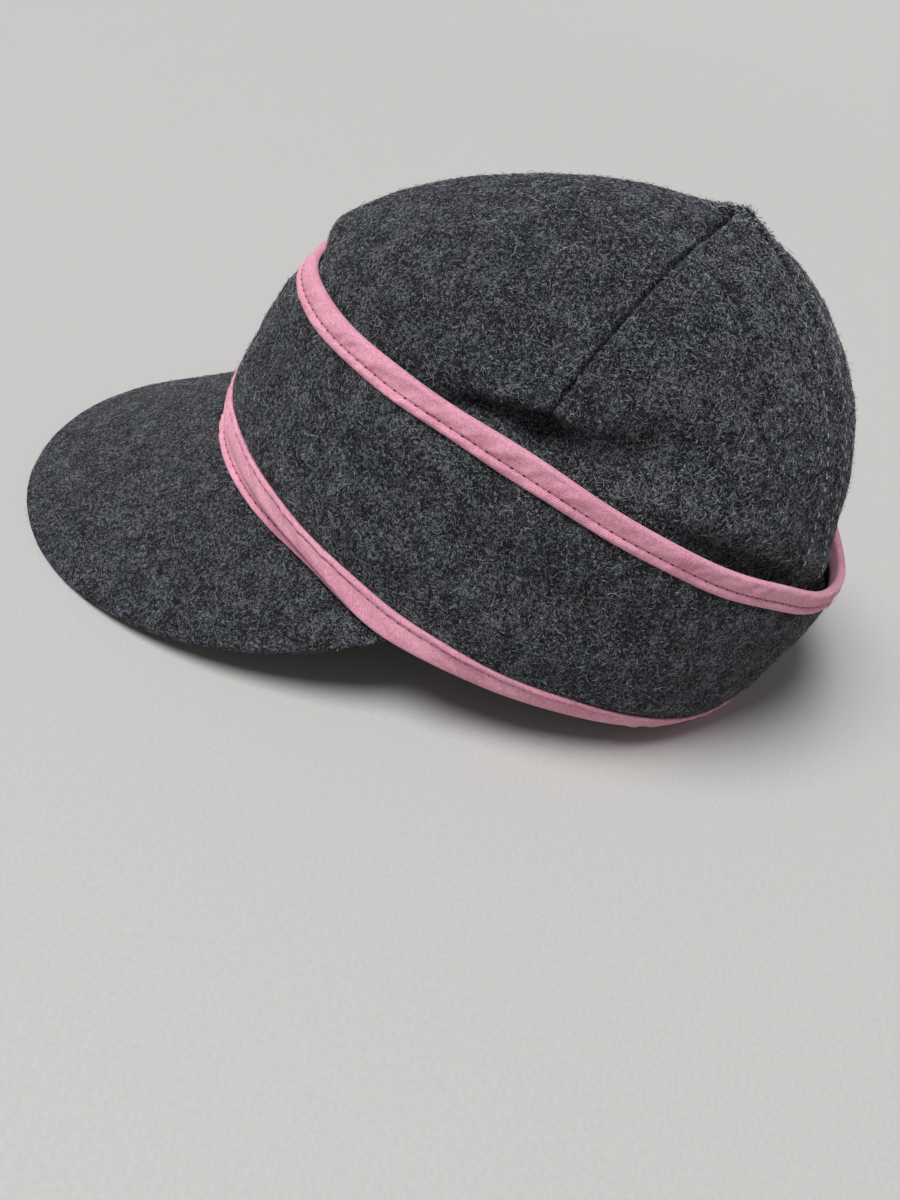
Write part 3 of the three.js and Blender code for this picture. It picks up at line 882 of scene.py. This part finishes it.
def nap(name, piece, count, seed, keep, length, rings, lift, thick):
    """Loose fibres on a piece's face, each a thin closed spindle with a bend in it.

    keep gives each face's share, from its middle in the rim's frame and the way it faces.
    """
    sides = 3
    rng = np.random.default_rng(seed)
    mesh = piece.data
    mesh.calc_loop_triangles()
    corners = numbers(mesh.vertices, "co", 3, np.float32)
    corners = corners[numbers(mesh.loop_triangles, "vertices", 3, np.int32)].astype(float)
    normal = np.cross(corners[:, 1] - corners[:, 0], corners[:, 2] - corners[:, 0])
    area = np.linalg.norm(normal, axis=1)
    normal = normal / np.maximum(area, 1e-18)[:, None]
    weight = area * keep(stood_up(corners.mean(1)), normal)
    chosen = rng.choice(len(area), count, p=weight / weight.sum())
    shares = rng.dirichlet((1, 1, 1), count)
    root = (corners[chosen] * shares[..., None]).sum(1) / MM
    up = normal[chosen]
    ahead = np.cross(up, rng.normal(size=(count, 3)))
    ahead /= np.linalg.norm(ahead, axis=1, keepdims=True)
    sideways = np.cross(up, ahead)
    long = length * rng.lognormal(0, 0.35, count)
    bend = long * rng.normal(0, 0.16, count)
    rise = 0.03 + rng.exponential(lift, count) * long / length
    rise += (rng.random(count) < STANDING_SHARE) * rng.uniform(0.3, 0.9, count)
    radius = thick * rng.uniform(0.75, 1.25, count)
    turn = np.arange(sides) * 2 * math.pi / sides

    def centre(share):
        shaped = ahead * (long * share)[:, None] + sideways * (bend * 4 * share * (1 - share))[:, None]
        return root + shaped + up * (rise * np.sqrt(share) + 0.02)[:, None]

    loops = [centre(np.zeros(count))[:, None]]
    for ring in range(rings):
        share = (ring + 1) / (rings + 1)
        across = sideways[:, None] * np.cos(turn)[None, :, None] + up[:, None] * np.sin(turn)[None, :, None]
        loops.append(centre(np.full(count, share))[:, None] + across * radius[:, None, None])
    loops.append(centre(np.ones(count))[:, None])
    places = np.concatenate(loops, 1)
    faces = []
    last = 1 + sides * rings
    for n in range(sides):
        m = (n + 1) % sides
        faces.append((0, 1 + m, 1 + n))
        faces.append((last - sides + n, last - sides + m, last))
        for ring in range(rings - 1):
            here = 1 + sides * ring
            beyond = here + sides
            faces.append((here + n, here + m, beyond + m))
            faces.append((here + n, beyond + m, beyond + n))
    faces = np.array(faces)[None] + (np.arange(count) * (last + 1))[:, None, None]
    spindles = bpy.data.meshes.new(name)
    laid = places.reshape(-1, 3) * MM
    laid[:, 2] = np.maximum(laid[:, 2], 0)
    spindles.from_pydata(laid, [], faces.reshape(-1, 3))
    shade = rng.choice(len(NAP_SHADES), count, p=[row["of_hundred"] / 100 for row in NAP_SHADES])
    spindles.polygons.foreach_set("material_index", np.repeat(shade, faces.shape[1]).astype(np.int32))
    return finished(name, spindles)


def peak():
    """The wool-covered peak, rounded over its edge and flat underneath."""
    columns = 180
    along = np.sin(np.linspace(-PEAK_END_ANGLE, PEAK_END_ANGLE, columns + 1) * DEG)[:, None]
    wall = mix(PEAK_END_WALL, PEAK_WALL, smooth((1 - np.abs(along)) / PEAK_END_TAPER))
    flat = np.concatenate([[-1, -0.4], np.linspace(0, PEAK_FLAT_SHARE, 48)])
    turn = np.linspace(0, math.pi, 9)[1:-1]
    edge = PEAK_FLAT_SHARE + 0.02 * np.sin(turn)
    reach = np.concatenate([flat, edge, flat[::-1], flat[:1]])[None, :]
    over = np.concatenate([0 * flat, 0.5 - 0.5 * np.cos(turn), 0 * flat + 1, [0]])[None, :]
    along, reach = np.broadcast_arrays(along, reach)
    depth = over * wall
    droop = np.where(reach < 0, 0, PEAK_DROOP * DEG)
    points = peak_face(along, reach)
    swells = swelling(points, PEAK_SWELLS) * (over < 0.5) * smooth(reach * 4)
    depth = depth - swells
    points = points - outward(along * PEAK_HALF_SPAN * DEG * PEAK_FAN) * (depth * np.sin(droop))[..., None]
    points[..., 2] -= depth * np.cos(droop)
    cloth = np.stack([along * 100, reach * PEAK_REACH], -1)
    piece = cloth_grid("peak_cloth", points, cloth, through=True)
    bm = bmesh.new()
    bm.from_mesh(piece.data)
    bmesh.ops.holes_fill(bm, edges=bm.edges, sides=0)
    bmesh.ops.recalc_face_normals(bm, faces=bm.faces)
    bm.to_mesh(piece.data)
    bm.free()
    return piece


# Camera, where the photograph was taken from, in the rim's frame
CAMERA_PLACE = (269.585, 2.541, 173.308)
CAMERA_AZIMUTH = 91.574
CAMERA_ELEVATION = 39.268
CAMERA_ROLL = 24.831
CAMERA_LENS = 27.02
CAMERA_SENSOR = 36.0

# The wide soft light, the sky, and the floor with its backdrop, in metres
SUN_FROM = (0.14, -0.37, 1.0)
SUN_ENERGY = 3.5
SUN_WIDTH = 36 * DEG
SKY_COLOR = (0.93, 0.95, 1.0, 1)
SKY_STRENGTH = 0.1
FLOOR_SHADE = linear(184, 183, 181)
FLOOR_PALE = linear(191, 190, 188)
FLOOR_RADIUS = 2.5
BACKDROP_CURVE = 4.0
BACKDROP_SLOPE = 35 * DEG
BACKDROP_REACH = 10.0


def camera():
    azimuth, elevation, roll = CAMERA_AZIMUTH * DEG, CAMERA_ELEVATION * DEG, CAMERA_ROLL * DEG
    back = Vector((
        math.sin(azimuth) * math.cos(elevation),
        -math.cos(azimuth) * math.cos(elevation),
        math.sin(elevation),
    ))
    level = Vector((0, 0, 1)).cross(back).normalized()
    upright = back.cross(level)
    right = level * math.cos(roll) + upright * math.sin(roll)
    up = back.cross(right)
    tilt = Matrix.Rotation(REST_TILT, 3, "X")
    data = bpy.data.cameras.new("camera")
    data.lens = CAMERA_LENS
    data.sensor_width = CAMERA_SENSOR
    data.clip_start = 0.01
    eye = bpy.data.objects.new("camera", data)
    bpy.context.scene.collection.objects.link(eye)
    turned = tilt @ Matrix((right, up, back)).transposed()
    place = (tilt @ Vector(CAMERA_PLACE) + Vector(REST_PLACE)) * MM
    eye.matrix_world = Matrix.Translation(place) @ turned.to_4x4()
    bpy.context.scene.camera = eye


def studio():
    """A pale floor that curves up into a wide sloping backdrop, one wide soft light and a pale sky."""
    bm = bmesh.new()
    turn = np.linspace(0, BACKDROP_SLOPE, 9)
    radius = [0, *(FLOOR_RADIUS + BACKDROP_CURVE * np.sin(turn)), BACKDROP_REACH]
    height = [0, *(BACKDROP_CURVE - BACKDROP_CURVE * np.cos(turn))]
    height.append(height[-1] + (BACKDROP_REACH - radius[-2]) * math.tan(BACKDROP_SLOPE))
    profile = [bm.verts.new((r, 0, z)) for r, z in zip(radius, height)]
    edges = [bm.edges.new(pair) for pair in zip(profile, profile[1:])]
    bmesh.ops.spin(
        bm,
        geom=profile + edges,
        cent=(0, 0, 0),
        axis=(0, 0, 1),
        angle=2 * math.pi,
        steps=72,
        use_merge=True,
    )
    bmesh.ops.remove_doubles(bm, verts=bm.verts, dist=1e-5)
    bmesh.ops.recalc_face_normals(bm, faces=bm.faces)
    for face in bm.faces:
        if face.normal.z < 0:
            face.normal_flip()
    mesh = bpy.data.meshes.new("floor")
    bm.to_mesh(mesh)
    bm.free()
    floor = finished("floor", mesh)
    finish = Finish("floor_paint")
    place = finish.place()
    grain = finish.noise(place, 900.0, 3.0, 0.5)
    color = finish.blend(grain.between(0.2, 0.8), FLOOR_SHADE, FLOOR_PALE)
    mesh.materials.append(finish.close(color, grain, depth=0.0001, bump=0.2, roughness=0.6, sheen=0.0))
    data = bpy.data.lights.new("soft_sun", "SUN")
    data.energy = SUN_ENERGY
    data.angle = SUN_WIDTH
    lamp = bpy.data.objects.new("soft_sun", data)
    bpy.context.scene.collection.objects.link(lamp)
    lamp.rotation_mode = "QUATERNION"
    lamp.rotation_quaternion = Vector(SUN_FROM).to_track_quat("Z", "Y")
    world = bpy.data.worlds.new("sky")
    world.use_nodes = True
    sky = world.node_tree.nodes["Background"]
    sky.inputs["Color"].default_value = SKY_COLOR
    sky.inputs["Strength"].default_value = SKY_STRENGTH
    bpy.context.scene.world = world
    bpy.context.scene.view_settings.view_transform = "Standard"


def over_band(points, normal):
    """Shares of the crown's face that show, for nap: over the band's edge and facing out."""
    azimuth = np.arctan2(points[:, 0], -points[:, 1])
    above = smooth((points[:, 2] - round_cap("band_top", azimuth) + 7) / 3)
    middle = np.array([0, APEX_BEHIND_MIDDLE, 35])
    away = points - middle
    return above * ((normal * away).sum(1) > 0.6 * np.linalg.norm(away, axis=1))


def near_apex(points, normal):
    """Shares of the knot where the panels meet, for the frayed ends that stand out of it."""
    radius = np.hypot(points[:, 0], points[:, 1] - APEX_BEHIND_MIDDLE)
    return np.exp(-((radius / 6.5) ** 2)) * over_band(points, normal)


def between_tapes(points, normal):
    """Shares of the band's face that show."""
    azimuth = np.arctan2(points[:, 0], -points[:, 1])
    from_foot = points[:, 2] - round_cap("band_foot", azimuth) - TAPE_WIDTH
    from_top = round_cap("band_top", azimuth) - TAPE_WIDTH - points[:, 2]
    return (np.minimum(from_foot, from_top) > -0.3) * ((normal * outward(azimuth)).sum(1) > 0)


def on_peak(points, normal):
    """Shares of the peak: all that lies outside the rim, with fewer underneath."""
    azimuth = np.arctan2(points[:, 0], -points[:, 1])
    out = outward(azimuth)
    rim_reach = (outline(azimuth, 0, RIM_REAR_REACH) * out).sum(1)
    outside = (points * out).sum(1) > rim_reach + 1
    return outside * np.where(normal[:, 2] > -0.2, 1.0, 0.45)


camera()
studio()

PANELS = (
    {"name": "crown_front", "from": -SIDE_SEAM, "to": SIDE_SEAM, "fibres": 17000},
    {"name": "crown_left", "from": SIDE_SEAM, "to": BACK_SEAM, "fibres": 10500},
    {"name": "crown_back", "from": BACK_SEAM, "to": 360 - BACK_SEAM, "fibres": 6500},
    {"name": "crown_right", "from": -BACK_SEAM, "to": -SIDE_SEAM, "fibres": 10500},
)
wool_pieces = []
for row in PANELS:
    panel = crown_panel(row["name"], row["from"], row["to"])
    belongs(panel, "wool", WOOL, row["name"] + "_panel")
    wool_pieces.append({"piece": panel, "fibres": row["fibres"], "keep": over_band})
    seed = FRAYED_SEED + len(wool_pieces)
    ends = nap(row["name"] + "_frayed_ends", panel, FRAYED_ENDS_OF_A_PANEL, seed, near_apex, **FRAYED_END)
    belongs(ends, "wool", NAP)
band = belongs(ear_band(), "wool", WOOL, "ear_band")
wool_pieces.append({"piece": band, "fibres": BAND_FIBRES, "keep": between_tapes})
visor = belongs(peak(), "wool", WOOL, "peak")
wool_pieces.append({"piece": visor, "fibres": PEAK_FIBRES, "keep": on_peak})
for number, row in enumerate(wool_pieces):
    name = row["piece"].name
    keep = row["keep"]
    fibres = nap(name + "_nap", row["piece"], row["fibres"], NAP_SEED + number, keep, **NAP_FIBRE)
    belongs(fibres, "wool", NAP)
    count = row["fibres"] // FIBRES_FOR_EACH_HAIR
    hairs = nap(name + "_stray_hairs", row["piece"], count, STRAY_SEED + number, keep, **STRAY_HAIR)
    belongs(hairs, "wool", NAP)

TAPES = (
    {
        "name": "ear_band_top_tape",
        "node": "ear_band_top_binding",
        "surface": band_face,
        "fold": lambda azimuth: round_cap("band_top", azimuth),
        "side": -1,
        "stitch_share": 0.64,
    },
    {
        "name": "ear_band_bottom_tape",
        "node": "ear_band_bottom_binding",
        "surface": band_face,
        "fold": lambda azimuth: round_cap("band_foot", azimuth),
        "side": 1,
        "stitch_share": 0.75,
    },
    {
        "name": "crown_edge_tape",
        "node": "crown_edge_binding",
        "surface": crown_behind_band,
        "fold": crown_foot,
        "side": 1,
        "stitch_share": 0.32,
    },
)
for row in TAPES:
    tape, stitches = folded_tape(row["name"], row["surface"], row["fold"], row["side"], row["stitch_share"])
    belongs(tape, "tape", TAPE, row["node"])
    belongs(stitches, "tape", TAPE_STITCH)

for seam in (BACK_SEAM, -BACK_SEAM):
    for aside in (SEAM_STITCH_ASIDE, -SEAM_STITCH_ASIDE):
        side = ("left" if seam > 0 else "right") + ("_front" if aside * seam < 0 else "_back")
        belongs(seam_stitches("seam_stitches_" + side, seam, aside), "wool", WOOL_STITCH)
